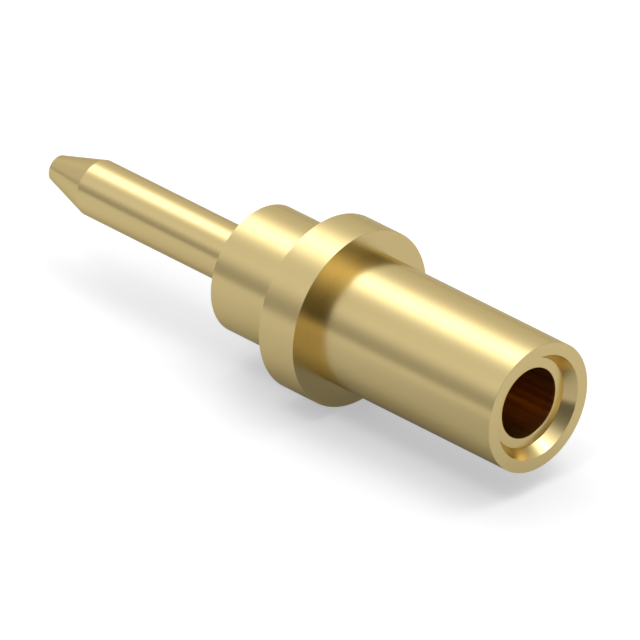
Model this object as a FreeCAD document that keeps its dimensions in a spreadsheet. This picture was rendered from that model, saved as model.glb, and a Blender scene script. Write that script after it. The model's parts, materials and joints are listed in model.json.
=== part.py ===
import FreeCAD
import Part
import Sketcher
import math
import os

# Pin receptacle: a turned shell with a spring contact pressed into its blind socket.
# Origin on the axis, at the flange's seating face on the tail side.
# +X runs along the axis and out of the mouth, +Z is up. Millimetres and degrees.

SIZES = {
    # Turned shell, outside, from the mouth to the tail's point
    "barrel_diameter": 2.36,
    "barrel_length": 4.24,
    "flange_diameter": 3.20,
    "flange_thickness": 0.81,
    "shank_diameter": 2.33,
    "shank_length": 1.59,
    "tail_diameter": 1.02,
    "tail_length": 3.90,
    "point_length": 0.95,
    "point_diameter": 0.48,
    "corner_radius": 0.02,
    "edge_break": 0.015,
    # Turned shell, blind socket drilled from the mouth
    "socket_diameter": 1.65,
    "socket_depth": 4.90,
    "drill_angle": 118,
    "leadin_angle": 60,
    "leadin_depth": 0.22,
    # Contact clip: a drawn ring whose split wall makes the spring fingers
    "clip_wall": 0.185,
    "collar_length": 1.05,
    "rim_break": 0.01,
    "bend_radius": 0.30,
    "finger_count": 6,
    "finger_length": 1.65,
    "finger_inset": 0.18,
    "finger_gap": 0.16,
    "contact_radius": 0.40,
    "flare_length": 0.40,
    "flare_angle": 14,
    "tip_corner_radius": 0.08,
}

# Places and radii that several features share, worked out from the sheet
MOUTH = "(Sizes.flange_thickness + Sizes.barrel_length)"
TIP = "(Sizes.shank_length + Sizes.tail_length + Sizes.point_length)"
SOCKET_RADIUS = "(Sizes.socket_diameter / 2)"
LEADIN_RADIUS = f"({SOCKET_RADIUS} + Sizes.leadin_depth * tan(Sizes.leadin_angle / 2))"
CONTACT_CENTRE = f"({SOCKET_RADIUS} - Sizes.clip_wall - Sizes.finger_inset + Sizes.contact_radius)"
FINGER_REACH = "(Sizes.collar_length + Sizes.finger_length + Sizes.flare_length)"

# Half widths of the annular faces between the shell's steps, which limit the small radii
BARREL_STEP = "((Sizes.flange_diameter - Sizes.barrel_diameter) / 4)"
SHANK_STEP = "((Sizes.flange_diameter - Sizes.shank_diameter) / 4)"
TAIL_STEP = "((Sizes.shank_diameter - Sizes.tail_diameter) / 4)"
MOUTH_WALL = f"((Sizes.barrel_diameter / 2 - {LEADIN_RADIUS}) / 2)"

# Numbers that the sketcher gives to its own origin and axes, and to an element's points
ORIGIN = -1
AXIS_X = -1
AXIS_Y = -2
START, END, CENTRE = range(1, 4)

# Lengths closer than this are taken as equal
SAME = 1e-6

doc = FreeCAD.newDocument("PinReceptacle")
sheet = doc.addObject("Spreadsheet::Sheet", "Sizes")
for row, (alias, value) in enumerate(SIZES.items(), start=1):
    sheet.set(f"A{row}", alias)
    sheet.set(f"B{row}", str(value))
    sheet.setAlias(f"B{row}", alias)
doc.recompute()


def worth(expression):
    """Return what an expression on the sheet comes to, as a plain number."""
    return float(sheet.evalExpression(expression))


def origin_part(body, role):
    """Return the plane or axis of a body's own origin that has the given role."""
    return next(part for part in body.Origin.OriginFeatures if part.Role == role)


def new_body(label):
    """Add an empty body whose label names the sub-part."""
    body = doc.addObject("PartDesign::Body", label)
    body.Label = label
    return body


def new_sketch(body, name, plane):
    """Add an empty sketch on one of the body's origin planes."""
    sketch = body.newObject("Sketcher::SketchObject", name)
    sketch.AttachmentSupport = (origin_part(body, plane), [""])
    sketch.MapMode = "FlatFace"
    return sketch


def dimension(sketch, name, expression, kind, *places):
    """Add a named dimension to a sketch and bind it to an expression on the sheet."""
    value = worth(expression)
    if kind == "Angle":
        value = math.radians(value)
    index = sketch.addConstraint(Sketcher.Constraint(kind, *places, value))
    sketch.renameConstraint(index, name)
    sketch.setExpression(f"Constraints.{name}", expression)


def rules(sketch, *constraints):
    """Add geometric constraints to a sketch, each given as its kind and its places."""
    sketch.addConstraint([Sketcher.Constraint(*each) for each in constraints])


def segment(start, end):
    """Return a straight sketch line between two points of the sketch plane."""
    return Part.LineSegment(FreeCAD.Vector(*start, 0), FreeCAD.Vector(*end, 0))


def arc(centre, radius, first, last):
    """Return a sketch arc that runs anticlockwise from one angle in degrees to another."""
    circle = Part.Circle(FreeCAD.Vector(*centre, 0), FreeCAD.Vector(0, 0, 1), radius)
    return Part.ArcOfCircle(circle, math.radians(first), math.radians(last))


def ends(curve):
    """Return the start and end of a sketch line or arc as pairs of numbers."""
    return (curve.StartPoint.x, curve.StartPoint.y), (curve.EndPoint.x, curve.EndPoint.y)


def closed(sketch):
    """Recompute a sketch and stop if its dimensions leave any freedom or clash."""
    doc.recompute()
    if not sketch.FullyConstrained or sketch.solve() != 0:
        raise RuntimeError(f"{sketch.Name} is not fully constrained")


def round_edges(feature, rings):
    """Name the feature's circular edges about the X axis that lie at the given x and radius."""
    names = []
    for number, edge in enumerate(feature.Shape.Edges, start=1):
        curve = edge.Curve
        if not isinstance(curve, Part.Circle):
            continue
        for place, radius in rings:
            on_place = abs(curve.Center.x - worth(place)) < SAME
            if on_place and abs(curve.Radius - worth(radius)) < SAME:
                names.append(f"Edge{number}")
    if len(names) != len(rings):
        raise RuntimeError(f"{feature.Name} has {len(names)} of its {len(rings)} ring edges")
    return names


def fillet(body, name, base, rings, radius):
    """Round the base feature's ring edges with a radius bound to an expression."""
    feature = body.newObject("PartDesign::Fillet", name)
    feature.Base = (base, round_edges(base, rings))
    feature.setExpression("Radius", radius)
    doc.recompute()
    return feature


def revolve(body, name, sketch):
    """Turn a sketch's outline about the body's X axis."""
    feature = body.newObject("PartDesign::Revolution", name)
    feature.Profile = sketch
    feature.ReferenceAxis = (origin_part(body, "X_Axis"), [""])
    feature.Angle = 360
    doc.recompute()
    return feature


def must_cut(feature, before):
    """Stop if a cutting feature has taken nothing from the solid before it."""
    doc.recompute()
    if not feature.Shape.Volume < before.Shape.Volume:
        raise RuntimeError(f"{feature.Name} cuts nothing")


def draw_turned_outline(body, name, seat, steps):
    """Draw half of a turned outline, step by step from the tail's point to the mouth.

    Each step is its name, its length and its radius at either end, as expressions. The step
    called seat starts at the origin, and the ones before it lie at negative x.
    """
    sketch = new_sketch(body, name, "XZ_Plane")
    x = -worth(TIP)
    corner = (x, 0)
    for step, length, start_radius, end_radius in steps:
        start = (x, worth(start_radius))
        x = x + worth(length)
        end = (x, worth(end_radius))
        stepped = math.dist(corner, start) > SAME
        if stepped:
            riser = sketch.addGeometry(segment(corner, start))
            rules(sketch, ("Vertical", riser))
            if riser > 0:
                rules(sketch, ("Coincident", riser - 1, END, riser, START))
            if step == seat:
                rules(sketch, ("PointOnObject", riser, END, AXIS_Y))
        run = sketch.addGeometry(segment(start, end))
        rules(sketch, ("Coincident", run - 1, END, run, START))
        dimension(sketch, f"{step}_length", length, "DistanceX", run, START, run, END)
        if stepped:
            dimension(sketch, f"{step}_radius", start_radius, "DistanceY", ORIGIN, START, run, START)
        if start_radius == end_radius:
            rules(sketch, ("Horizontal", run))
        else:
            dimension(sketch, f"{step}_end_radius", end_radius, "DistanceY", ORIGIN, START, run, END)
        corner = end
    mouth_face = sketch.addGeometry(segment(corner, (x, 0)))
    axis_line = sketch.addGeometry(segment((x, 0), (-worth(TIP), 0)))
    rules(
        sketch,
        ("Coincident", mouth_face - 1, END, mouth_face, START),
        ("Coincident", mouth_face, END, axis_line, START),
        ("Coincident", axis_line, END, 0, START),
        ("Vertical", mouth_face),
        ("Horizontal", axis_line),
        ("PointOnObject", axis_line, START, AXIS_X),
    )
    closed(sketch)
    return sketch


def build_shell():
    """Turn the shell from bar: tail, shank, flange and barrel, with a blind socket."""
    body = new_body("turned_shell")
    point = "(Sizes.point_diameter / 2)"
    tail = "(Sizes.tail_diameter / 2)"
    shank = "(Sizes.shank_diameter / 2)"
    flange = "(Sizes.flange_diameter / 2)"
    barrel = "(Sizes.barrel_diameter / 2)"
    outline = draw_turned_outline(
        body,
        "ShellOutline",
        "flange",
        (
            ("point", "Sizes.point_length", point, tail),
            ("tail", "Sizes.tail_length", tail, tail),
            ("shank", "Sizes.shank_length", shank, shank),
            ("flange", "Sizes.flange_thickness", flange, flange),
            ("barrel", "Sizes.barrel_length", barrel, barrel),
        ),
    )
    turned = revolve(body, "TurnedBar", outline)

    # The turning tool's nose leaves a radius in each inner corner
    corner_limit = f"min(Sizes.corner_radius; {BARREL_STEP}; {SHANK_STEP}; {TAIL_STEP})"
    corners = (
        ("-Sizes.shank_length", tail),
        ("0", shank),
        ("Sizes.flange_thickness", barrel),
    )
    cornered = fillet(body, "CornerRadii", turned, corners, corner_limit)

    # Every outer edge is broken
    break_limit = f"min(Sizes.edge_break; {BARREL_STEP}; {SHANK_STEP}; {TAIL_STEP}; {MOUTH_WALL})"
    edges = (
        (f"-{TIP}", point),
        ("-Sizes.shank_length", shank),
        ("0", flange),
        ("Sizes.flange_thickness", flange),
        (MOUTH, barrel),
    )
    broken = fillet(body, "EdgeBreaks", cornered, edges, break_limit)

    # Blind socket with a countersunk mouth and a drill point
    centre = new_sketch(body, "SocketCentre", "YZ_Plane")
    centre.setExpression("AttachmentOffset.Base.z", MOUTH)
    ring = centre.addGeometry(Part.Circle(FreeCAD.Vector(), FreeCAD.Vector(0, 0, 1), worth(SOCKET_RADIUS)))
    rules(centre, ("Coincident", ring, CENTRE, ORIGIN, START))
    dimension(centre, "socket_radius", SOCKET_RADIUS, "Radius", ring)
    closed(centre)
    socket = body.newObject("PartDesign::Hole", "Socket")
    socket.Profile = centre
    doc.recompute()
    socket.DepthType = "Dimension"
    socket.setExpression("Diameter", "Sizes.socket_diameter")
    socket.setExpression("Depth", "Sizes.socket_depth")
    socket.DrillPoint = "Angled"
    socket.setExpression("DrillPointAngle", "Sizes.drill_angle")
    socket.HoleCutType = "Countersink"
    socket.setExpression("HoleCutDiameter", f"2 * {LEADIN_RADIUS}")
    socket.setExpression("HoleCutCountersinkAngle", "Sizes.leadin_angle")
    must_cut(socket, broken)
    return body


def finger_slope():
    """Return the fingers' taper in degrees, from the line that touches both of their bends."""
    bends = worth("Sizes.bend_radius + Sizes.contact_radius")
    rise = bends - worth("Sizes.finger_inset")
    run = worth("Sizes.finger_length")
    return math.degrees(math.asin(bends / math.hypot(run, rise)) - math.atan2(rise, run))


def draw_clip_section(body):
    """Draw the clip's wall, from the rim along one finger to its tip, as one closed strip.

    The rim lies on the sketch's vertical axis and the finger runs to negative x. The finger
    bends in behind the collar, tapers to its contact point and flares out again behind it.
    """
    sketch = new_sketch(body, "ClipSection", "XZ_Plane")
    wall = worth("Sizes.clip_wall")
    outside = worth(SOCKET_RADIUS)
    inside = outside - wall
    collar = worth("Sizes.collar_length")
    slope = finger_slope()
    flare = worth("Sizes.flare_angle")
    bend_radius = worth("Sizes.bend_radius")
    contact_radius = worth("Sizes.contact_radius")
    bend_centre = (-collar, inside - bend_radius)
    contact_centre = (-collar - worth("Sizes.finger_length"), worth(CONTACT_CENTRE))

    # Both skins of each bend share its centre
    bend_out = arc(bend_centre, bend_radius + wall, 90, 90 + slope)
    bend_in = arc(bend_centre, bend_radius, 90, 90 + slope)
    contact_out = arc(contact_centre, contact_radius - wall, 270 - flare, 270 + slope)
    contact_in = arc(contact_centre, contact_radius, 270 - flare, 270 + slope)

    # The flare's skins run straight on from the contact bend to the tip
    flare_start, taper_end = ends(contact_in)
    tip_x = contact_centre[0] - worth("Sizes.flare_length")
    tip_in = (tip_x, flare_start[1] + (flare_start[0] - tip_x) * math.tan(math.radians(flare)))
    lean = math.radians(flare)
    tip_out = (tip_in[0] + wall * math.sin(lean), tip_in[1] + wall * math.cos(lean))

    rim, collar_out, bend_out_arc, taper_out, contact_out_arc, flare_out = range(6)
    tip, flare_in, contact_in_arc, taper_in, bend_in_arc, collar_in = range(6, 12)
    sketch.addGeometry(
        [
            segment((0, inside), (0, outside)),
            segment((0, outside), (-collar, outside)),
            bend_out,
            segment(ends(bend_out)[1], ends(contact_out)[1]),
            contact_out,
            segment(ends(contact_out)[0], tip_out),
            segment(tip_out, tip_in),
            segment(tip_in, flare_start),
            contact_in,
            segment(taper_end, ends(bend_in)[1]),
            bend_in,
            segment((-collar, inside), (0, inside)),
        ]
    )
    rules(
        sketch,
        ("Coincident", rim, END, collar_out, START),
        ("Tangent", collar_out, END, bend_out_arc, START),
        ("Tangent", bend_out_arc, END, taper_out, START),
        ("Tangent", taper_out, END, contact_out_arc, END),
        ("Tangent", contact_out_arc, START, flare_out, START),
        ("Coincident", flare_out, END, tip, START),
        ("Coincident", tip, END, flare_in, START),
        ("Tangent", flare_in, END, contact_in_arc, START),
        ("Tangent", contact_in_arc, END, taper_in, START),
        ("Tangent", taper_in, END, bend_in_arc, END),
        ("Tangent", bend_in_arc, START, collar_in, START),
        ("Coincident", collar_in, END, rim, START),
        ("Vertical", rim),
        ("Horizontal", collar_out),
        ("Horizontal", collar_in),
        ("Coincident", bend_out_arc, CENTRE, bend_in_arc, CENTRE),
        ("Coincident", contact_out_arc, CENTRE, contact_in_arc, CENTRE),
        ("Parallel", flare_out, flare_in),
        ("Perpendicular", tip, flare_in),
        ("PointOnObject", rim, START, AXIS_Y),
    )
    dimension(sketch, "clip_radius", SOCKET_RADIUS, "DistanceY", ORIGIN, START, rim, END)
    dimension(sketch, "wall", "Sizes.clip_wall", "DistanceY", rim, START, rim, END)
    dimension(sketch, "collar", "Sizes.collar_length", "DistanceX", collar_out, END, collar_out, START)
    dimension(sketch, "bend", "Sizes.bend_radius", "Radius", bend_in_arc)
    dimension(sketch, "contact", "Sizes.contact_radius", "Radius", contact_in_arc)
    dimension(sketch, "contact_back", "Sizes.contact_radius - Sizes.clip_wall", "Radius", contact_out_arc)
    dimension(
        sketch, "finger", "Sizes.finger_length", "DistanceX", contact_in_arc, CENTRE, bend_in_arc, CENTRE
    )
    dimension(sketch, "contact_height", CONTACT_CENTRE, "DistanceY", ORIGIN, START, contact_in_arc, CENTRE)
    dimension(sketch, "flare", "Sizes.flare_length", "DistanceX", tip, END, contact_in_arc, CENTRE)
    dimension(sketch, "flare_lean", "180 - Sizes.flare_angle", "Angle", AXIS_X, START, flare_in, END)
    closed(sketch)
    return sketch


def draw_slot(body):
    """Draw the gap between two fingers: a round root, straight sides and rounded finger ends."""
    sketch = new_sketch(body, "SlotOutline", "XY_Plane")
    half_gap = worth("Sizes.finger_gap / 2")
    corner = worth("Sizes.tip_corner_radius")
    root_x = -worth("Sizes.collar_length") - half_gap
    tip_x = -worth(FINGER_REACH)
    past_x = tip_x - corner
    wide = half_gap + corner
    root, left, left_corner, left_past, past, right_past, right_corner, right = range(8)
    sketch.addGeometry(
        [
            arc((root_x, 0), half_gap, -90, 90),
            segment((root_x, half_gap), (tip_x + corner, half_gap)),
            arc((tip_x + corner, wide), corner, 180, 270),
            segment((tip_x, wide), (past_x, wide)),
            segment((past_x, wide), (past_x, -wide)),
            segment((past_x, -wide), (tip_x, -wide)),
            arc((tip_x + corner, -wide), corner, 90, 180),
            segment((tip_x + corner, -half_gap), (root_x, -half_gap)),
        ]
    )
    rules(
        sketch,
        ("Tangent", root, END, left, START),
        ("Tangent", left, END, left_corner, END),
        ("Coincident", left_corner, START, left_past, START),
        ("Coincident", left_past, END, past, START),
        ("Coincident", past, END, right_past, START),
        ("Coincident", right_past, END, right_corner, END),
        ("Tangent", right_corner, START, right, START),
        ("Tangent", right, END, root, START),
        ("Horizontal", left),
        ("Horizontal", right),
        ("Horizontal", left_past),
        ("Horizontal", right_past),
        ("Vertical", past),
        ("PointOnObject", root, CENTRE, AXIS_X),
        ("Equal", left_corner, right_corner),
        ("Horizontal", left_corner, START, left_corner, CENTRE),
        ("Horizontal", right_corner, END, right_corner, CENTRE),
        ("Vertical", left_corner, START, right_corner, END),
    )
    dimension(sketch, "half_gap", "Sizes.finger_gap / 2", "Radius", root)
    dimension(sketch, "corner", "Sizes.tip_corner_radius", "Radius", left_corner)
    dimension(sketch, "past_tip", "Sizes.tip_corner_radius", "DistanceX", left_past, END, left_past, START)
    dimension(
        sketch, "root", "Sizes.collar_length + Sizes.finger_gap / 2", "DistanceX", root, CENTRE, ORIGIN, START
    )
    dimension(sketch, "reach", FINGER_REACH, "DistanceX", left_corner, START, ORIGIN, START)
    closed(sketch)
    return sketch


def build_clip():
    """Form the contact clip and press it in, its rim at the foot of the lead-in."""
    body = new_body("contact_clip")
    ring = revolve(body, "ClipRing", draw_clip_section(body))
    rim_edges = (("0", SOCKET_RADIUS), ("0", f"({SOCKET_RADIUS} - Sizes.clip_wall)"))
    rimmed = fillet(body, "RimBreaks", ring, rim_edges, "min(Sizes.rim_break; Sizes.clip_wall / 3)")

    # One slot through one side of the wall, repeated about the axis
    slot = body.newObject("PartDesign::Pocket", "Slot")
    slot.Profile = draw_slot(body)
    slot.Type = "ThroughAll"
    must_cut(slot, rimmed)
    slots = body.newObject("PartDesign::PolarPattern", "Slots")
    slots.Originals = [slot]
    slots.Axis = (origin_part(body, "X_Axis"), [""])
    slots.Angle = 360
    slots.setExpression("Occurrences", "Sizes.finger_count")
    body.Tip = slots
    must_cut(slots, slot)
    body.setExpression("Placement.Base.x", f"{MOUTH} - Sizes.leadin_depth")
    return body


bodies = [build_shell(), build_clip()]
doc.recompute()

for item in doc.Objects:
    if "Invalid" in item.State or "Error" in item.State:
        raise RuntimeError(f"{item.Name} did not compute: {item.State}")
for body in bodies:
    if body.Shape.isNull() or not body.Shape.isValid() or len(body.Shape.Solids) != 1:
        raise RuntimeError(f"{body.Label} is not one valid solid")

os.makedirs("parts", exist_ok=True)
for body in bodies:
    body.Shape.exportStep(os.path.join("parts", f"{body.Label}.step"))
    box = body.Shape.BoundBox
    print(f"{body.Label}: volume {body.Shape.Volume:.4f}, x {box.XMin:.3f} to {box.XMax:.3f}")
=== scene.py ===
"""Pin receptacle, dressed: a turned gold-plated shell with a drawn spring contact in its socket.

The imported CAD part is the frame. Both of its solids are replaced by finer surfaces of the same
form, worked out with numpy from the sizes that the frame gives. Lengths are in millimetres until
a mesh is made, and the axis of the part is the frame's X axis, with the mouth at the +X end.
"""

import json
import logging
import math
from dataclasses import dataclass, field
from enum import Enum
from typing import Any

import bpy
import numpy as np
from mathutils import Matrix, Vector


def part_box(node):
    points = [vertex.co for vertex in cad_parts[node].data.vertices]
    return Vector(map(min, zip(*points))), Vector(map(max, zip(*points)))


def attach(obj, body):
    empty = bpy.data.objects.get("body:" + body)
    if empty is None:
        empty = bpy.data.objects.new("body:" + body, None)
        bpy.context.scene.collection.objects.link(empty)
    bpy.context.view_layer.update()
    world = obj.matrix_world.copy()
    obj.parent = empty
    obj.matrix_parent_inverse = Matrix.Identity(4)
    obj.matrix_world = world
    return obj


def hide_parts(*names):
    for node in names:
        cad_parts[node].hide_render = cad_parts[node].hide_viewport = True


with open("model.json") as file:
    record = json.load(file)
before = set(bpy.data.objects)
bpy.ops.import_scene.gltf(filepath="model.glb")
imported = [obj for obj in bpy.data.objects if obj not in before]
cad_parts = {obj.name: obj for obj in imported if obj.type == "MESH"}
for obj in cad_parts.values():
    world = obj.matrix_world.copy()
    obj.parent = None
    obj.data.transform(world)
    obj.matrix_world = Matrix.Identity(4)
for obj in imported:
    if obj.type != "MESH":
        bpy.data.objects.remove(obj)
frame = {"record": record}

LOG = logging.getLogger("pin_receptacle")

MM = 0.001

# Points closer than this many millimetres are one point of a mesh
WELD_MM = 1e-6

# Edges that turn by more than this stay crisp, and all others are shaded smooth
CRISP_DEGREES = 35.0

# No light that the metal has coloured reaches the floor, so its shadow stays neutral, and light
# may take as many mirrored bounces as it needs to find its way out of the socket again
DIFFUSE_BOUNCES = 0
GLOSSY_BOUNCES = 20

# The Mix node's sockets for colours come after those for its other kinds of value
MIX_SHARE, MIX_FIRST, MIX_SECOND, MIX_RESULT = 0, 6, 7, 2

WHITE = (1.0, 1.0, 1.0, 1.0)

# Noise values gather round 0.5. A pattern goes through its full range between two of them.
SOFT_RANGE = (0.25, 0.75)
# Noise values between which the painted sheen streaks go from their dark colour to their light one
SHEEN_STREAK_RANGE = (0.44, 0.58)


class Lay(Enum):
    """The direction in which a tool has left its fine marks."""

    AROUND = "around the axis, as a turning tool leaves them"
    ALONG = "along the axis, as a drawing die leaves them"


def linear_colour(hex_code: str) -> tuple[float, float, float, float]:
    """Turns an sRGB hex colour into the linear colour that a shader takes.

    Each channel below 0.04045 is divided by 12.92. Each one above it has 0.055 added, is divided
    by 1.055 and raised to the power of 2.4.

    Args:
        hex_code: Six hex digits after a hash sign.

    Returns:
        Linear red, green and blue, and an alpha of 1.
    """
    channels = np.array([int(hex_code[i : i + 2], 16) for i in (1, 3, 5)]) / 255.0
    low = channels / 12.92
    high = ((channels + 0.055) / 1.055) ** 2.4
    red, green, blue = np.where(channels <= 0.04045, low, high)
    return float(red), float(green), float(blue), 1.0


def unit_direction(azimuth: float, elevation: float) -> tuple[float, float, float]:
    """Gives the unit vector of a direction, with azimuth 0 along +X and 90 along +Y.

    Args:
        azimuth: Degrees round the vertical.
        elevation: Degrees above the horizon.

    Returns:
        The vector's x, y and z.
    """
    a, e = math.radians(azimuth), math.radians(elevation)
    return math.cos(e) * math.cos(a), math.cos(e) * math.sin(a), math.sin(e)


def add_node(
    tree: bpy.types.NodeTree,
    kind: str,
    values: dict[int | str, Any] | None = None,
    links: dict[int | str, bpy.types.NodeSocket] | None = None,
    **settings: Any,
) -> bpy.types.Node:
    """Adds one node with its settings, its socket values and the links into it.

    Args:
        tree: The node tree that takes the node.
        kind: The node's type name.
        values: Plain values by input socket.
        links: Output sockets of other nodes by input socket.
        **settings: The node's own settings, such as its operation.

    Returns:
        The new node.
    """
    node = tree.nodes.new(kind)
    for name, setting in settings.items():
        setattr(node, name, setting)
    for socket, value in (values or {}).items():
        node.inputs[socket].default_value = value
    for socket, source in (links or {}).items():
        tree.links.new(source, node.inputs[socket])
    return node


def grid_faces(rows: int, columns: int) -> np.ndarray:
    """Gives the four-sided faces of a grid of points that is stored row by row.

    Face (i, j) has the corners (i, j), (i, j + 1), (i + 1, j + 1) and (i + 1, j).

    Args:
        rows: Number of rows of points.
        columns: Number of points in a row.

    Returns:
        One row of four point numbers for each face.
    """
    first = (np.arange(rows - 1)[:, None] * columns + np.arange(columns - 1)).ravel()
    return np.stack([first, first + 1, first + columns + 1, first + columns], axis=1)


def make_piece(name: str, points: np.ndarray, quads: np.ndarray) -> bpy.types.Object:
    """Makes a closed smooth-shaded object from points in millimetres and four-sided faces.

    Points at the same place are welded, which closes seams and poles. A face with two corners on
    one point then becomes a triangle.

    Args:
        name: The piece's name.
        points: Points in millimetres, one in each row.
        quads: Four point numbers for each face, anticlockwise seen from outside.

    Returns:
        The object, at the origin.
    """
    keys = np.round(points / WELD_MM).astype(np.int64)
    _, kept, number = np.unique(keys, axis=0, return_index=True, return_inverse=True)
    quads = number.reshape(-1)[quads]
    same = quads == np.roll(quads, -1, axis=1)
    doubled = same.sum(axis=1)
    whole = quads[doubled == 0]
    pinched = doubled == 1
    triangles = quads[pinched][~same[pinched]].reshape(-1, 3)
    mesh = bpy.data.meshes.new(name)
    mesh.from_pydata(points[kept] * MM, [], whole.tolist() + triangles.tolist())
    mesh.validate()
    mesh.polygons.foreach_set("use_smooth", np.ones(len(mesh.polygons), bool))
    mesh.set_sharp_from_angle(angle=math.radians(CRISP_DEGREES))
    mesh.update()
    piece = bpy.data.objects.new(name, mesh)
    bpy.context.scene.collection.objects.link(piece)
    return piece


def enclosed_volume(mesh: bpy.types.Mesh) -> float:
    """Gives the volume inside a closed mesh in cubic millimetres, positive if it faces outwards.

    It is the sum over all triangles of a . (b x c) / 6, with their corners a, b and c.

    Args:
        mesh: The mesh to measure.

    Returns:
        The volume.
    """
    mesh.calc_loop_triangles()
    places = np.empty(len(mesh.vertices) * 3)
    mesh.vertices.foreach_get("co", places)
    corners = np.empty(len(mesh.loop_triangles) * 3, dtype=np.int32)
    mesh.loop_triangles.foreach_get("vertices", corners)
    a, b, c = (places.reshape(-1, 3)[corners.reshape(-1, 3)[:, k]] / MM for k in range(3))
    return float(np.einsum("ij,ij->i", a, np.cross(b, c)).sum() / 6)


@dataclass(frozen=True)
class Corner:
    """A corner of a turned outline, in millimetres: its place, its radius and its rounding."""

    x: float
    r: float
    rounding: float = 0.0


@dataclass(frozen=True)
class TurnedOutline:
    """The half outline that a turned piece sweeps round the axis.

    A rounding has arc_steps lengths, and a run is divided where it is longer than longest_mm. A
    holding point hold_mm from each corner keeps a run's smooth shading from bending.
    """

    corners: tuple[Corner, ...]
    arc_steps: int = 8
    longest_mm: float = 0.30
    hold_mm: float = 0.003

    def rounded(self, before: Corner, corner: Corner, after: Corner) -> np.ndarray:
        """Gives the points that round one corner, with a holding point on the run at each side.

        With the unit directions u into the corner and w out of it, and the turn t between them,
        the arc starts rounding * tan(t / 2) before the corner and ends as far behind it. Its
        centre c lies rounding / cos(t / 2) from the corner towards w - u. A point of the arc is
        c + (sin((1 - s) t) p + sin(s t) q) / sin(t), where p and q lead from c to the arc's
        ends and s runs from 0 to 1.

        Args:
            before: The corner before it.
            corner: The corner to round.
            after: The corner behind it.

        Returns:
            Points as rows of x and r.
        """
        here = np.array([corner.x, corner.r])
        u = here - (before.x, before.r)
        w = np.array([after.x, after.r]) - here
        u, w = u / np.linalg.norm(u), w / np.linalg.norm(w)
        turn = math.acos(float(np.clip(u @ w, -1.0, 1.0)))
        reach = corner.rounding * math.tan(turn / 2)
        inward = (w - u) / np.linalg.norm(w - u)
        centre = here + inward * corner.rounding / math.cos(turn / 2)
        p, q = here - u * reach - centre, here + w * reach - centre
        steps = self.arc_steps if corner.rounding else 0
        s = np.linspace(0.0, 1.0, steps + 1)[:, None]
        arc = centre + (np.sin((1 - s) * turn) * p + np.sin(s * turn) * q) / math.sin(turn)
        return np.vstack([arc[0] - u * self.hold_mm, arc, arc[-1] + w * self.hold_mm])

    def points(self) -> np.ndarray:
        """Gives the whole outline: rounded corners, and long runs divided into even lengths.

        Returns:
            Points as rows of x and r, from the first corner to the last.
        """
        first, *_, last = self.corners
        stops = [np.array([[first.x, first.r]])]
        stops += [self.rounded(*three) for three in zip(self.corners, self.corners[1:], self.corners[2:])]
        stops.append(np.array([[last.x, last.r]]))
        parts = [stops[0]]
        for stop in stops[1:]:
            start, end = parts[-1][-1], stop[0]
            count = max(1, math.ceil(np.linalg.norm(end - start) / self.longest_mm))
            share = np.arange(1, count)[:, None] / count
            parts += [start + (end - start) * share, stop]
        return np.vstack(parts)

    def swept(self, name: str, around: int) -> bpy.types.Object:
        """Sweeps the outline round the axis into a closed surface.

        A point (x, r) of the outline at the angle a comes to (x, r cos a, r sin a). The first and
        last corners lie on the axis and become poles.

        Args:
            name: The piece's name.
            around: Number of steps round the axis.

        Returns:
            The piece.
        """
        outline = self.points()
        angle = np.arange(around + 1) % around * (2 * math.pi / around)
        x = np.repeat(outline[:, :1], around + 1, axis=1)
        points = np.stack([x, outline[:, 1:] * np.cos(angle), outline[:, 1:] * np.sin(angle)], axis=-1)
        return make_piece(name, points.reshape(-1, 3), grid_faces(len(outline), around + 1))


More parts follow.
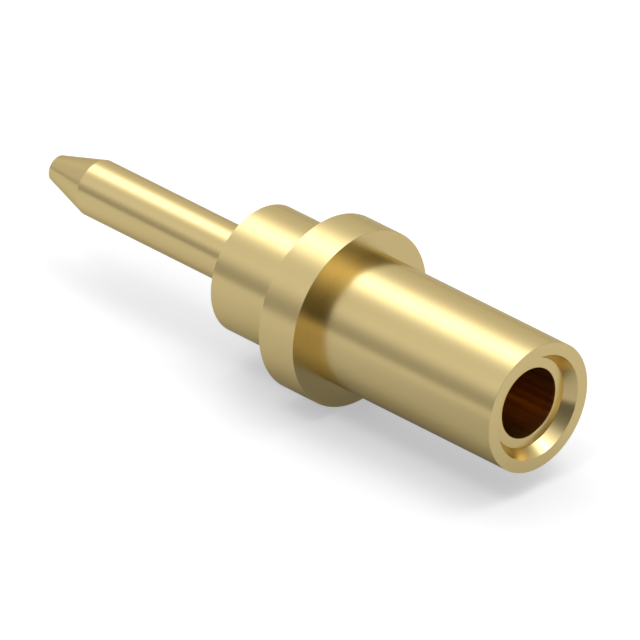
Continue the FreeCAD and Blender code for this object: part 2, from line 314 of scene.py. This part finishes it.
@dataclass(frozen=True)
class PlatedFinish:
    """Hard gold plated over another metal, with the fine marks of the tool showing through it.

    Soft clouds drift the tone from the colour to the deep colour, and the roughness up and down by
    its drift. The edge colour tints what is seen at a grazing angle. Marks are what the tool left,
    and drawn ones are stretched along the axis by the mark stretch. Where sheen streak colours are
    given, the drawn marks also paint light and dark reflection bands into the colour: painted sheen.
    """

    name: str
    colour: str
    deep_colour: str
    edge_colour: str
    roughness: float
    roughness_drift: float
    cloud_mm: float
    mark_mm: float
    mark_depth_mm: float
    lay: Lay
    # Dark and light colours of painted sheen: reflection bands laid along the drawn marks
    sheen_streak_colours: tuple[str, str] | None = None
    cloud_detail: float = 3.0
    cloud_roughness: float = 0.55
    mark_detail: float = 2.0
    mark_stretch: float = 30.0

    def mark_places(self, tree: bpy.types.NodeTree, places: bpy.types.NodeSocket) -> bpy.types.NodeSocket:
        """Gives coordinates that change only across the tool's marks.

        Turning marks depend on x and on the radius, the length of (0, y, z). Drawing marks depend
        on where a point lies round the axis, (0, y, z) at unit length times one millimetre, and
        change more slowly along x by the mark stretch.

        Args:
            tree: The material's node tree.
            places: The object coordinates.

        Returns:
            The coordinates for the marks' noise, in metres.
        """
        across = add_node(
            tree, "ShaderNodeVectorMath", {1: (0.0, 1.0, 1.0)}, {0: places}, operation="MULTIPLY"
        )
        if self.lay is Lay.AROUND:
            radius = add_node(tree, "ShaderNodeVectorMath", links={0: across.outputs[0]}, operation="LENGTH")
            parted = add_node(tree, "ShaderNodeSeparateXYZ", links={0: places})
            joined = add_node(
                tree, "ShaderNodeCombineXYZ", links={0: parted.outputs[0], 1: radius.outputs["Value"]}
            )
            return joined.outputs[0]
        unit = add_node(tree, "ShaderNodeVectorMath", links={0: across.outputs[0]}, operation="NORMALIZE")
        round_axis = add_node(
            tree, "ShaderNodeVectorMath", {1: (MM, MM, MM)}, {0: unit.outputs[0]}, operation="MULTIPLY"
        )
        slow = add_node(
            tree,
            "ShaderNodeVectorMath",
            {1: (1 / self.mark_stretch, 0.0, 0.0)},
            {0: places, 2: round_axis.outputs[0]},
            operation="MULTIPLY_ADD",
        )
        return slow.outputs[0]

    def die_mark_and_sheen_share(self, tree: bpy.types.NodeTree) -> bpy.types.NodeSocket:
        """Gives how strongly a die's marks, and the painted sheen laid along them, show in each place.

        A die marks only what slid through it, so the share is 1 minus the size of the surface
        normal's part along the axis, and a cut end stays plain.

        Args:
            tree: The material's node tree.

        Returns:
            The share, from 0 to 1.
        """
        normal = add_node(tree, "ShaderNodeTexCoord").outputs["Normal"]
        parted = add_node(tree, "ShaderNodeSeparateXYZ", links={0: normal})
        size = add_node(tree, "ShaderNodeMath", links={0: parted.outputs[0]}, operation="ABSOLUTE")
        share = add_node(tree, "ShaderNodeMath", {0: 1.0}, {1: size.outputs[0]}, operation="SUBTRACT")
        return share.outputs[0]

    def lay_sheen_streaks(
        self,
        tree: bpy.types.NodeTree,
        tone: bpy.types.NodeSocket,
        marks: bpy.types.NodeSocket,
        share: bpy.types.NodeSocket,
    ) -> bpy.types.NodeSocket:
        """Lays a die's streaks over the tone.

        Lays painted sheen over the tone: light and dark reflection bands along the die's marks.
        high.

        Args:
            tree: The material's node tree.
            tone: The colour of a plain place.
            marks: The marks' height.
            share: How strongly the marks show.

        Returns:
            The colour.
        """
        low, high = map(linear_colour, self.sheen_streak_colours)
        height = add_node(
            tree,
            "ShaderNodeMapRange",
            {"From Min": SHEEN_STREAK_RANGE[0], "From Max": SHEEN_STREAK_RANGE[1]},
            {"Value": marks},
        )
        streaks = add_node(
            tree,
            "ShaderNodeMix",
            {MIX_FIRST: low, MIX_SECOND: high},
            {MIX_SHARE: height.outputs[0]},
            data_type="RGBA",
        )
        laid = add_node(
            tree,
            "ShaderNodeMix",
            links={MIX_SHARE: share, MIX_FIRST: tone, MIX_SECOND: streaks.outputs[MIX_RESULT]},
            data_type="RGBA",
        )
        return laid.outputs[MIX_RESULT]

    def material(self) -> bpy.types.Material:
        """Builds the finish as a material.

        Returns:
            A metal whose tone and gloss drift in soft clouds, with tool marks as a fine bump and,
            where it was drawn, as painted sheen streaks of light and dark in its colour.
        """
        made = bpy.data.materials.new(self.name)
        made.use_nodes = True
        tree = made.node_tree
        tree.nodes.clear()
        places = add_node(tree, "ShaderNodeTexCoord").outputs["Object"]
        clouds = add_node(
            tree,
            "ShaderNodeTexNoise",
            {
                "Scale": 1 / (self.cloud_mm * MM),
                "Detail": self.cloud_detail,
                "Roughness": self.cloud_roughness,
            },
            {"Vector": places},
        )
        tone = add_node(
            tree,
            "ShaderNodeMix",
            {MIX_FIRST: linear_colour(self.colour), MIX_SECOND: linear_colour(self.deep_colour)},
            {MIX_SHARE: clouds.outputs[0]},
            data_type="RGBA",
        )
        gloss = add_node(
            tree,
            "ShaderNodeMapRange",
            {
                "From Min": SOFT_RANGE[0],
                "From Max": SOFT_RANGE[1],
                "To Min": self.roughness - self.roughness_drift,
                "To Max": self.roughness + self.roughness_drift,
            },
            {"Value": clouds.outputs[0]},
        )
        marks = add_node(
            tree,
            "ShaderNodeTexNoise",
            {"Scale": 1 / (self.mark_mm * MM), "Detail": self.mark_detail},
            {"Vector": self.mark_places(tree, places)},
        )
        bump = add_node(
            tree,
            "ShaderNodeBump",
            {"Strength": 1.0, "Distance": self.mark_depth_mm * MM},
            {"Height": marks.outputs[0]},
        )
        colour = tone.outputs[MIX_RESULT]
        # Where drawn, the marks also paint light and dark reflection bands into the colour: painted sheen
        if self.sheen_streak_colours:
            share = self.die_mark_and_sheen_share(tree)
            tree.links.new(share, bump.inputs["Strength"])
            colour = self.lay_sheen_streaks(tree, colour, marks.outputs[0], share)
        metal = add_node(
            tree,
            "ShaderNodeBsdfPrincipled",
            {"Metallic": 1.0, "Specular Tint": linear_colour(self.edge_colour)},
            {"Base Color": colour, "Roughness": gloss.outputs[0], "Normal": bump.outputs[0]},
        )
        add_node(tree, "ShaderNodeOutputMaterial", links={0: metal.outputs[0]})
        return made


# Hard gold over fine-turned brass: a pale, slightly greenish yellow mirror that a satin gloss
# blurs and that gets no paler at its grazing rims. The feed of a fine finishing cut leaves a ring
# about every 0.05 mm, which shows as hair-fine lines only in a grazing light.
TURNED_GOLD_PLATE = PlatedFinish(
    name="hard gold plate over fine-turned brass",
    colour="#EED79A",
    deep_colour="#ECD497",
    edge_colour="#E2DAC4",
    roughness=0.243,
    roughness_drift=0.015,
    cloud_mm=0.9,
    mark_mm=0.05,
    mark_depth_mm=0.00005,
    lay=Lay.AROUND,
)

# The same plate over drawn spring alloy: as pale on its cut rim, and a touch glossier where a die
# has burnished it. There its colour carries painted sheen: deeper and lighter streaks along the
# contact, painted reflection bands laid along the die lines, which light takes up anew at each
# bounce down the socket. Die lines really are a few thousandths of a millimetre apart, so they are
# drawn as coarse as they need to show: one in every 0.22 mm of a circle of 1 mm radius, which is
# about 0.14 mm on the contact's inner wall.
DRAWN_GOLD_PLATE = PlatedFinish(
    name="hard gold plate over drawn spring alloy",
    colour="#EED79A",
    deep_colour="#EBD294",
    edge_colour="#FAF3DA",
    roughness=0.23,
    roughness_drift=0.015,
    cloud_mm=0.6,
    mark_mm=0.22,
    mark_depth_mm=0.0006,
    lay=Lay.ALONG,
    # Painted sheen: the dark and the light reflection bands down the socket
    sheen_streak_colours=("#E6C07C", "#FFEBA0"),
)


def mount(name: str) -> dict[str, Any]:
    """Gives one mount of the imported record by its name."""
    return next(each for each in frame["record"]["mounts"] if each["name"] == name)


def mount_radius(name: str) -> float:
    """Gives the radius of a round mount in millimetres."""
    return mount(name)["dims"]["r_mm"]


def mount_length(name: str) -> float:
    """Gives the length of a round mount in millimetres."""
    return mount(name)["dims"]["length_mm"]


@dataclass(frozen=True)
class TurnedShell:
    """The turned body: pointed tail, board shank, flange, and barrel with its blind socket."""

    tip_x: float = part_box("turned_shell")[0][0] / MM
    flange_radius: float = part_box("turned_shell")[1][2] / MM
    flange_front: float = mount("flange_front")["pos_m"][0] / MM
    rim_x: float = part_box("contact_clip")[1][0] / MM
    point_radius: float = 0.24
    socket_radius: float = 0.825
    socket_depth: float = 4.90
    drill_angle: float = 118.0
    leadin_angle: float = 60.0
    edge_break: float = 0.004
    tool_nose: float = 0.004
    around: int = 256

    def outline(self) -> TurnedOutline:
        """Gives the shell's outline, from the tail's point outside to the drill point inside.

        The countersink opens by tan(half its angle) for each millimetre of its depth, and the
        drill point ends socket_radius / tan(half its angle) behind the bore's full width. Outer
        edges are broken, and the inner corners at each shoulder are sharp.

        Returns:
            The outline.
        """
        tail, shank, barrel = map(mount_radius, ("tail", "board_shank", "barrel"))
        shank_end = -mount_length("board_shank")
        tail_end = shank_end - mount_length("tail")
        mouth = self.flange_front + mount_length("barrel")
        leadin = self.socket_radius + (mouth - self.rim_x) * math.tan(math.radians(self.leadin_angle / 2))
        floor = mouth - self.socket_depth
        drill_tip = floor - self.socket_radius / math.tan(math.radians(self.drill_angle / 2))
        edge, nose = self.edge_break, self.tool_nose
        return TurnedOutline(
            (
                Corner(self.tip_x, 0.0),
                Corner(self.tip_x, self.point_radius, edge),
                Corner(tail_end, tail),
                Corner(shank_end, tail),
                Corner(shank_end, shank, edge),
                Corner(0.0, shank),
                Corner(0.0, self.flange_radius, edge),
                Corner(self.flange_front, self.flange_radius, edge),
                Corner(self.flange_front, barrel),
                Corner(mouth, barrel, edge),
                Corner(mouth, leadin, nose),
                Corner(self.rim_x, self.socket_radius, nose),
                Corner(floor, self.socket_radius, nose),
                Corner(drill_tip, 0.0),
            )
        )

    def build(self) -> bpy.types.Object:
        """Makes the shell's surface, in place of the CAD solid.

        Returns:
            The piece.
        """
        piece = self.outline().swept("turned_shell_surface", self.around)
        piece.data.materials.append(TURNED_GOLD_PLATE.material())
        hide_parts("turned_shell")
        return piece


@dataclass(frozen=True)
class ContactClip:
    """The drawn spring contact: a ring pressed in behind the mouth, split into fingers.

    A finger's contact point lies the finger length behind the collar, and the inset nearer to the
    axis than the collar's inner wall. From there the flare opens to the tip.
    """

    rim_x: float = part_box("contact_clip")[1][0] / MM
    inner_radius: float = mount_radius("socket")
    collar: float = mount_length("socket")
    wall: float = 0.185
    rim_break: float = 0.01
    bend_radius: float = 0.30
    finger_length: float = 1.65
    finger_inset: float = 0.18
    finger_gap: float = 0.16
    contact_radius: float = 0.40
    flare_length: float = 0.40
    flare_angle: float = 14.0
    tip_corner: float = 0.08
    fingers: int = 6
    across: int = 20
    collar_steps: int = 6
    bend_steps: int = 8
    taper_steps: int = 16
    contact_steps: int = 12
    flare_steps: int = 14
    rim_steps: int = 6
    face_steps: int = 7

    def slope(self) -> float:
        """Gives the fingers' taper in radians, that of the line which touches both bends.

        With b the sum of both bend radii, the taper is asin(b / d) - atan2(b - inset, length),
        where d is the distance between the two bends' centres.

        Returns:
            The taper.
        """
        bends = self.bend_radius + self.contact_radius
        rise = bends - self.finger_inset
        between = math.hypot(self.finger_length, rise)
        return math.asin(bends / between) - math.atan2(rise, self.finger_length)

    def slot_half_width(self, x: np.ndarray) -> np.ndarray:
        """Gives half the width of the gap between two fingers at each place along the axis.

        It is 0 in the collar, sqrt(g^2 - (x - root)^2) in the round root, g along the straight
        sides, and g + c - sqrt(c^2 - (x - bend)^2) at the fingers' rounded ends, with half the
        gap g and the corner radius c.

        Args:
            x: Places along the axis.

        Returns:
            Half widths.
        """
        half, corner = self.finger_gap / 2, self.tip_corner
        root = self.rim_x - self.collar - half
        bend = self.rim_x - self.collar - self.finger_length - self.flare_length + corner
        in_root = np.sqrt(np.clip(half**2 - np.clip(x - root, 0, None) ** 2, 0, None))
        at_tip = corner - np.sqrt(np.clip(corner**2 - np.clip(bend - x, 0, None) ** 2, 0, None))
        return in_root + at_tip

    def wall_line(self) -> tuple[np.ndarray, np.ndarray]:
        """Gives the stations of the wall from the collar's front to a finger's tip.

        Each station has the inner skin's point and the lean g of the wall there. The outer skin
        lies one wall thickness further, at (x - wall sin g, r + wall cos g). The lean is 0 in
        the collar, swings to the taper in the first bend, and from it to minus the flare angle
        in the contact bend. Stations lie closer together at the slots' roots and at the tips.

        Returns:
            Inner points as rows of x and r, and the leans.
        """
        taper, flare = self.slope(), math.radians(self.flare_angle)
        collar_end = self.rim_x - self.collar
        first = np.array([collar_end, self.inner_radius - self.bend_radius])
        contact_r = self.inner_radius - self.finger_inset + self.contact_radius
        second = np.array([collar_end - self.finger_length, contact_r])

        lean_in = taper * np.linspace(0.0, 1.0, self.bend_steps + 1)[1:] ** 2
        bend = first + self.bend_radius * np.stack([-np.sin(lean_in), np.cos(lean_in)], axis=1)
        lean_back = np.linspace(taper, -flare, self.contact_steps + 1)
        contact = second - self.contact_radius * np.stack([-np.sin(lean_back), np.cos(lean_back)], axis=1)

        # Shares of a run's length: the first lie close together at its start, the others at its end
        at_start = 1 - np.cos(np.linspace(0.0, math.pi / 2, self.taper_steps + 1))
        at_end = np.sin(np.linspace(0.0, math.pi / 2, self.flare_steps + 1))
        taper_run = bend[-1] + (contact[0] - bend[-1]) * at_start[1:-1, None]
        tip_x = second[0] - self.flare_length
        tip = np.array([tip_x, contact[-1, 1] + (contact[-1, 0] - tip_x) * math.tan(flare)])
        flare_run = contact[-1] + (tip - contact[-1]) * at_end[1:, None]

        collar = np.linspace(self.rim_x - self.rim_break, collar_end, self.collar_steps + 1)
        collar_points = np.stack([collar, np.full_like(collar, self.inner_radius)], axis=1)
        inner = np.vstack([collar_points, bend, taper_run, contact, flare_run])
        lean = np.concatenate(
            [
                np.zeros(len(collar)),
                lean_in,
                np.full(len(taper_run), taper),
                lean_back,
                np.full(len(flare_run), -flare),
            ]
        )
        return inner, lean

    def rim_line(self) -> np.ndarray:
        """Gives the rim between the two skins, from outside to inside, with both edges rounded.

        Each edge is a quarter circle of the rim break's radius b about a centre that lies b
        behind the rim and b inside the wall.

        Returns:
            Points as rows of x and r.
        """
        edge = self.rim_break
        s = np.linspace(0.0, math.pi / 2, self.rim_steps + 1)[1:]
        back = self.rim_x - edge
        outer_r = self.inner_radius + self.wall - edge
        inner_r = self.inner_radius + edge
        outer = np.stack([back + edge * np.sin(s), outer_r + edge * np.cos(s)], axis=1)
        inner = np.stack([back + edge * np.cos(s), inner_r - edge * np.sin(s)], axis=1)
        share = np.linspace(0.0, 1.0, self.face_steps + 1)[1:, None]
        face = outer[-1] + (np.array([self.rim_x, inner_r]) - outer[-1]) * share
        return np.vstack([outer, face, inner[:-1]])

    def finger(self) -> tuple[np.ndarray, np.ndarray]:
        """Makes one finger with its share of the ring, centred on the +Y side.

        Its grid runs from the outer tip over the rim to the inner tip. A point (x, r) of it at
        the share t from -1 to 1 lies at the angle t (pi / n - asin(h / r)), where h is half the
        slot's width there and n the number of fingers. Strips of faces join both skins at the
        slots' sides and at the tip.

        Returns:
            Points, and faces of four point numbers each.
        """
        inner, lean = self.wall_line()
        outer = inner + self.wall * np.stack([-np.sin(lean), np.cos(lean)], axis=1)
        line = np.vstack([outer[::-1], self.rim_line(), inner])
        rows, columns = len(line), self.across + 1
        half_gap = self.slot_half_width(line[:, 0])
        half_angle = math.pi / self.fingers - np.arcsin(half_gap / line[:, 1])
        angle = half_angle[:, None] * np.linspace(-1.0, 1.0, columns)
        r = line[:, 1:]
        x = np.repeat(line[:, :1], columns, axis=1)
        points = np.stack([x, r * np.cos(angle), r * np.sin(angle)], axis=-1).reshape(-1, 3)

        skin = grid_faces(rows, columns)
        split = np.arange(np.count_nonzero(half_gap[: len(outer)] > 0))
        facing = rows - 1 - split
        low = np.stack([split, split + 1, facing - 1, facing], axis=1) * columns
        high = low[:, ::-1] + columns - 1
        steps = np.arange(columns - 1)
        last = (rows - 1) * columns
        tip = np.stack([steps, last + steps, last + steps + 1, steps + 1], axis=1)
        return points, np.vstack([skin, low, high, tip])

    def build(self) -> bpy.types.Object:
        """Repeats the finger round the axis into one closed surface, in place of the CAD solid.

        Returns:
            The piece.
        """
        points, quads = self.finger()
        turns = np.arange(self.fingers) * (2 * math.pi / self.fingers)
        cosines, sines = np.cos(turns)[:, None], np.sin(turns)[:, None]
        x = np.repeat(points[None, :, 0], self.fingers, axis=0)
        y = points[:, 1] * cosines - points[:, 2] * sines
        z = points[:, 1] * sines + points[:, 2] * cosines
        everywhere = np.stack([x, y, z], axis=-1).reshape(-1, 3)
        offsets = np.arange(self.fingers)[:, None, None] * len(points)
        piece = make_piece("contact_clip_surface", everywhere, (quads + offsets).reshape(-1, 4))
        piece.data.materials.append(DRAWN_GOLD_PLATE.material())
        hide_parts("contact_clip")
        return piece


@dataclass(frozen=True)
class Glow:
    """A soft round light on the studio's dome: cos(angle from its centre) ^ narrowness."""

    strength: float
    azimuth: float
    elevation: float
    narrowness: float


@dataclass(frozen=True)
class FloorLamp:
    """A soft far lamp that lights matt surfaces only, so the metal doesn't mirror it."""

    strength: float
    azimuth: float
    elevation: float
    spread: float


@dataclass(frozen=True)
class Studio:
    """The pale floor, the dome of soft light over it, and the camera of the photograph.

    Lengths are in millimetres and angles in degrees. The walls, the ceiling and each glow are
    what the metal mirrors as bands and patches. The camera's azimuth is 0 where it looks along +Y
    and 90 where it looks into the mouth.
    """

    floor_z: float = -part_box("turned_shell")[1][2] / MM
    floor_reach: float = 500.0
    floor_colour: str = "#DFDFDF"
    floor_glow: float = 0.455
    mirrored_colour: str = "#BABABA"
    mirrored_glow: float = 0.205
    # Centre and reach of the painted shadow that darkens the floor as the metal mirrors it
    painted_shadow_spot: tuple[float, float] = (3.4, -6.8)
    painted_shadow_reach: float = 10.3
    wall_level: float = 0.112
    wall_swing: float = 0.128
    wall_azimuth: float = 103.1
    ceiling_level: float = 0.381
    ceiling_azimuth: float = 163.3
    ceiling_elevation: float = 56.4
    ceiling_edges: tuple[float, float] = (0.357, 0.631)
    glows: tuple[Glow, ...] = (
        Glow(2.05, 164.2, 54.3, 25.5),
        Glow(2.71, 25.8, 70.7, 199.0),
        Glow(0.96, 6.6, 64.3, 8.9),
        Glow(0.41, -115.8, 24.1, 3.9),
        Glow(2.45, 53.6, 68.3, 64.0),
        Glow(0.10, -40.7, 39.3, 8.3),
        Glow(0.20, 126.0, -2.0, 40.0),
        Glow(0.09, 137.0, 33.0, 30.0),
    )
    floor_lamps: tuple[FloorLamp, ...] = (
        FloorLamp(0.29, -84.0, 68.0, 15.0),
        FloorLamp(0.225, 105.0, 36.0, 15.0),
    )
    camera_azimuth: float = 45.0
    camera_elevation: float = 30.0
    camera_target: tuple[float, float, float] = (0.0406, -0.1780, -0.2677)
    view_width: float = 10.828
    lens: float = 1700.0
    sensor: float = 36.0
    clip_factor: float = 10.0

    def facing(self, tree: bpy.types.NodeTree, azimuth: float, elevation: float) -> bpy.types.NodeSocket:
        """Gives the cosine between the direction looked at and a fixed one.

        Args:
            tree: The world's node tree.
            azimuth: Degrees round the vertical.
            elevation: Degrees above the horizon.

        Returns:
            The cosine.
        """
        looked_at = add_node(tree, "ShaderNodeTexCoord").outputs["Generated"]
        towards = unit_direction(azimuth, elevation)
        dot = add_node(
            tree, "ShaderNodeVectorMath", {1: towards}, {0: looked_at}, operation="DOT_PRODUCT"
        )
        return dot.outputs["Value"]

    def dome(self, tree: bpy.types.NodeTree) -> bpy.types.NodeSocket:
        """Adds up the dome's brightness in each direction.

        The walls give level + swing * cosine to their bright side. The ceiling fades in between
        its two edges, which are cosines to its centre. Each glow adds strength * cosine ^
        narrowness.

        Args:
            tree: The world's node tree.

        Returns:
            The brightness.
        """
        total = add_node(
            tree,
            "ShaderNodeMath",
            {1: self.wall_swing, 2: self.wall_level},
            {0: self.facing(tree, self.wall_azimuth, 0.0)},
            operation="MULTIPLY_ADD",
        ).outputs[0]
        ceiling = add_node(
            tree,
            "ShaderNodeMapRange",
            {
                "From Min": self.ceiling_edges[0],
                "From Max": self.ceiling_edges[1],
                "To Max": self.ceiling_level,
            },
            {"Value": self.facing(tree, self.ceiling_azimuth, self.ceiling_elevation)},
            interpolation_type="SMOOTHSTEP",
        )
        total = add_node(
            tree, "ShaderNodeMath", links={0: total, 1: ceiling.outputs[0]}, operation="ADD"
        ).outputs[0]
        for glow in self.glows:
            ahead = add_node(
                tree,
                "ShaderNodeMath",
                {1: 0.0},
                {0: self.facing(tree, glow.azimuth, glow.elevation)},
                operation="MAXIMUM",
            )
            fading = add_node(
                tree, "ShaderNodeMath", {1: glow.narrowness}, {0: ahead.outputs[0]}, operation="POWER"
            )
            total = add_node(
                tree,
                "ShaderNodeMath",
                {1: glow.strength},
                {0: fading.outputs[0], 2: total},
                operation="MULTIPLY_ADD",
            ).outputs[0]
        return total

    def light(self) -> None:
        """Makes the world: the dome for all light, and plain white where the camera looks."""
        world = bpy.data.worlds.new("soft studio dome")
        world.use_nodes = True
        tree = world.node_tree
        tree.nodes.clear()
        dome = add_node(tree, "ShaderNodeBackground", {"Color": WHITE}, {"Strength": self.dome(tree)})
        white = add_node(tree, "ShaderNodeBackground", {"Color": WHITE, "Strength": 1.0})
        path = add_node(tree, "ShaderNodeLightPath")
        mixed = add_node(
            tree,
            "ShaderNodeMixShader",
            links={0: path.outputs["Is Camera Ray"], 1: dome.outputs[0], 2: white.outputs[0]},
        )
        add_node(tree, "ShaderNodeOutputWorld", links={0: mixed.outputs[0]})
        bpy.context.scene.world = world

    def hang_floor_lamps(self) -> None:
        """Hangs the lamps that shape the shadow on the floor, hidden from every mirrored ray."""
        for number, each in enumerate(self.floor_lamps):
            data = bpy.data.lights.new(f"floor_lamp_{number}", "SUN")
            data.energy = each.strength
            data.angle = math.radians(each.spread)
            lamp = bpy.data.objects.new(f"floor_lamp_{number}", data)
            towards = Vector(unit_direction(each.azimuth, each.elevation))
            lamp.rotation_mode = "QUATERNION"
            lamp.rotation_quaternion = towards.to_track_quat("Z", "Y")
            lamp.visible_glossy = False
            bpy.context.scene.collection.objects.link(lamp)

    def paper(self) -> bpy.types.Material:
        """Makes the floor's matt white paper.

        Its own colour takes the light and the shadow. The camera sees a plain glow on top of it,
        which brings the open floor to white. Mirrored rays see a darker paper with a glow that
        sinks to nothing in a wide soft spot on the camera's side, as in the photograph's metal: a
        painted shadow on the floor, seen only in the metal's reflection.

        Returns:
            The material.
        """
        made = bpy.data.materials.new("matt white paper")
        made.use_nodes = True
        tree = made.node_tree
        tree.nodes.clear()
        path = add_node(tree, "ShaderNodeLightPath")
        mirrored = add_node(
            tree,
            "ShaderNodeMath",
            links={0: path.outputs["Is Glossy Ray"], 1: path.outputs["Is Transmission Ray"]},
            operation="MAXIMUM",
        )
        place = add_node(tree, "ShaderNodeTexCoord").outputs["Object"]
        # Painted shadow: the mirrored glow sinks to nothing towards this spot on the camera's side
        spot = tuple(c * MM for c in (*self.painted_shadow_spot, self.floor_z))
        away = add_node(tree, "ShaderNodeVectorMath", {1: spot}, {0: place}, operation="DISTANCE")
        fading = add_node(
            tree,
            "ShaderNodeMapRange",
            {"From Max": self.painted_shadow_reach * MM, "To Max": self.mirrored_glow},
            {"Value": away.outputs["Value"]},
            interpolation_type="SMOOTHSTEP",
        )
        glow_with_painted_shadow = add_node(
            tree, "ShaderNodeMath", links={0: mirrored.outputs[0], 1: fading.outputs[0]}, operation="MULTIPLY"
        )
        strength = add_node(
            tree,
            "ShaderNodeMath",
            {1: self.floor_glow},
            {0: path.outputs["Is Camera Ray"], 2: glow_with_painted_shadow.outputs[0]},
            operation="MULTIPLY_ADD",
        )
        tone = add_node(
            tree,
            "ShaderNodeMix",
            {MIX_FIRST: linear_colour(self.mirrored_colour), MIX_SECOND: linear_colour(self.floor_colour)},
            {MIX_SHARE: path.outputs["Is Camera Ray"]},
            data_type="RGBA",
        )
        matt = add_node(tree, "ShaderNodeBsdfDiffuse", links={"Color": tone.outputs[MIX_RESULT]})
        glow = add_node(tree, "ShaderNodeEmission", {"Color": WHITE}, {"Strength": strength.outputs[0]})
        both = add_node(tree, "ShaderNodeAddShader", links={0: matt.outputs[0], 1: glow.outputs[0]})
        add_node(tree, "ShaderNodeOutputMaterial", links={0: both.outputs[0]})
        return made

    def lay_floor(self) -> bpy.types.Object:
        """Lays the paper at the height on which the flange rests.

        Returns:
            The floor.
        """
        reach, z = self.floor_reach * MM, self.floor_z * MM
        corners = [(-reach, -reach, z), (reach, -reach, z), (reach, reach, z), (-reach, reach, z)]
        mesh = bpy.data.meshes.new("studio_floor")
        mesh.from_pydata(corners, [], [(0, 1, 2, 3)])
        mesh.materials.append(self.paper())
        floor = bpy.data.objects.new("studio_floor", mesh)
        bpy.context.scene.collection.objects.link(floor)
        return floor

    def place_camera(self) -> bpy.types.Object:
        """Places the camera far away on the photograph's line of sight, with a very long lens.

        The distance is the view's width times lens / sensor, so that the picture spans exactly
        that width at the target. It is seen from the distance / the clip factor to the distance
        times that factor.

        Returns:
            The camera.
        """
        azimuth, elevation = self.camera_azimuth - 90.0, self.camera_elevation
        back = Vector(unit_direction(azimuth, elevation))
        distance = self.view_width * self.lens / self.sensor
        data = bpy.data.cameras.new("long_lens")
        data.lens = self.lens
        data.sensor_width = self.sensor
        data.clip_start = distance * MM / self.clip_factor
        data.clip_end = distance * MM * self.clip_factor
        camera = bpy.data.objects.new("long_lens", data)
        camera.location = (Vector(self.camera_target) + back * distance) * MM
        camera.rotation_mode = "QUATERNION"
        camera.rotation_quaternion = (-back).to_track_quat("-Z", "Y")
        bpy.context.scene.collection.objects.link(camera)
        bpy.context.scene.camera = camera
        return camera


@dataclass
class PinReceptacle:
    """The whole part: shell and contact, riding on the frame's only body."""

    shell: TurnedShell = field(default_factory=TurnedShell)
    clip: ContactClip = field(default_factory=ContactClip)

    def build(self) -> list[bpy.types.Object]:
        """Builds both pieces and reports each one.

        Returns:
            The pieces.
        """
        pieces = [self.shell.build(), self.clip.build()]
        for piece in pieces:
            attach(piece, "root")
            LOG.info(
                "%s: %d faces, %.4f mm3", piece.name, len(piece.data.polygons), enclosed_volume(piece.data)
            )
        return pieces


def main() -> None:
    """Builds the part in its studio."""
    logging.basicConfig(level=logging.INFO, format="%(name)s: %(message)s")
    bpy.context.scene.view_settings.view_transform = "Standard"
    bpy.context.scene.cycles.diffuse_bounces = DIFFUSE_BOUNCES
    bpy.context.scene.cycles.glossy_bounces = GLOSSY_BOUNCES
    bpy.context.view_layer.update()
    PinReceptacle().build()
    studio = Studio()
    studio.lay_floor()
    studio.light()
    studio.hang_floor_lamps()
    studio.place_camera()


if __name__ == "__main__":
    main()
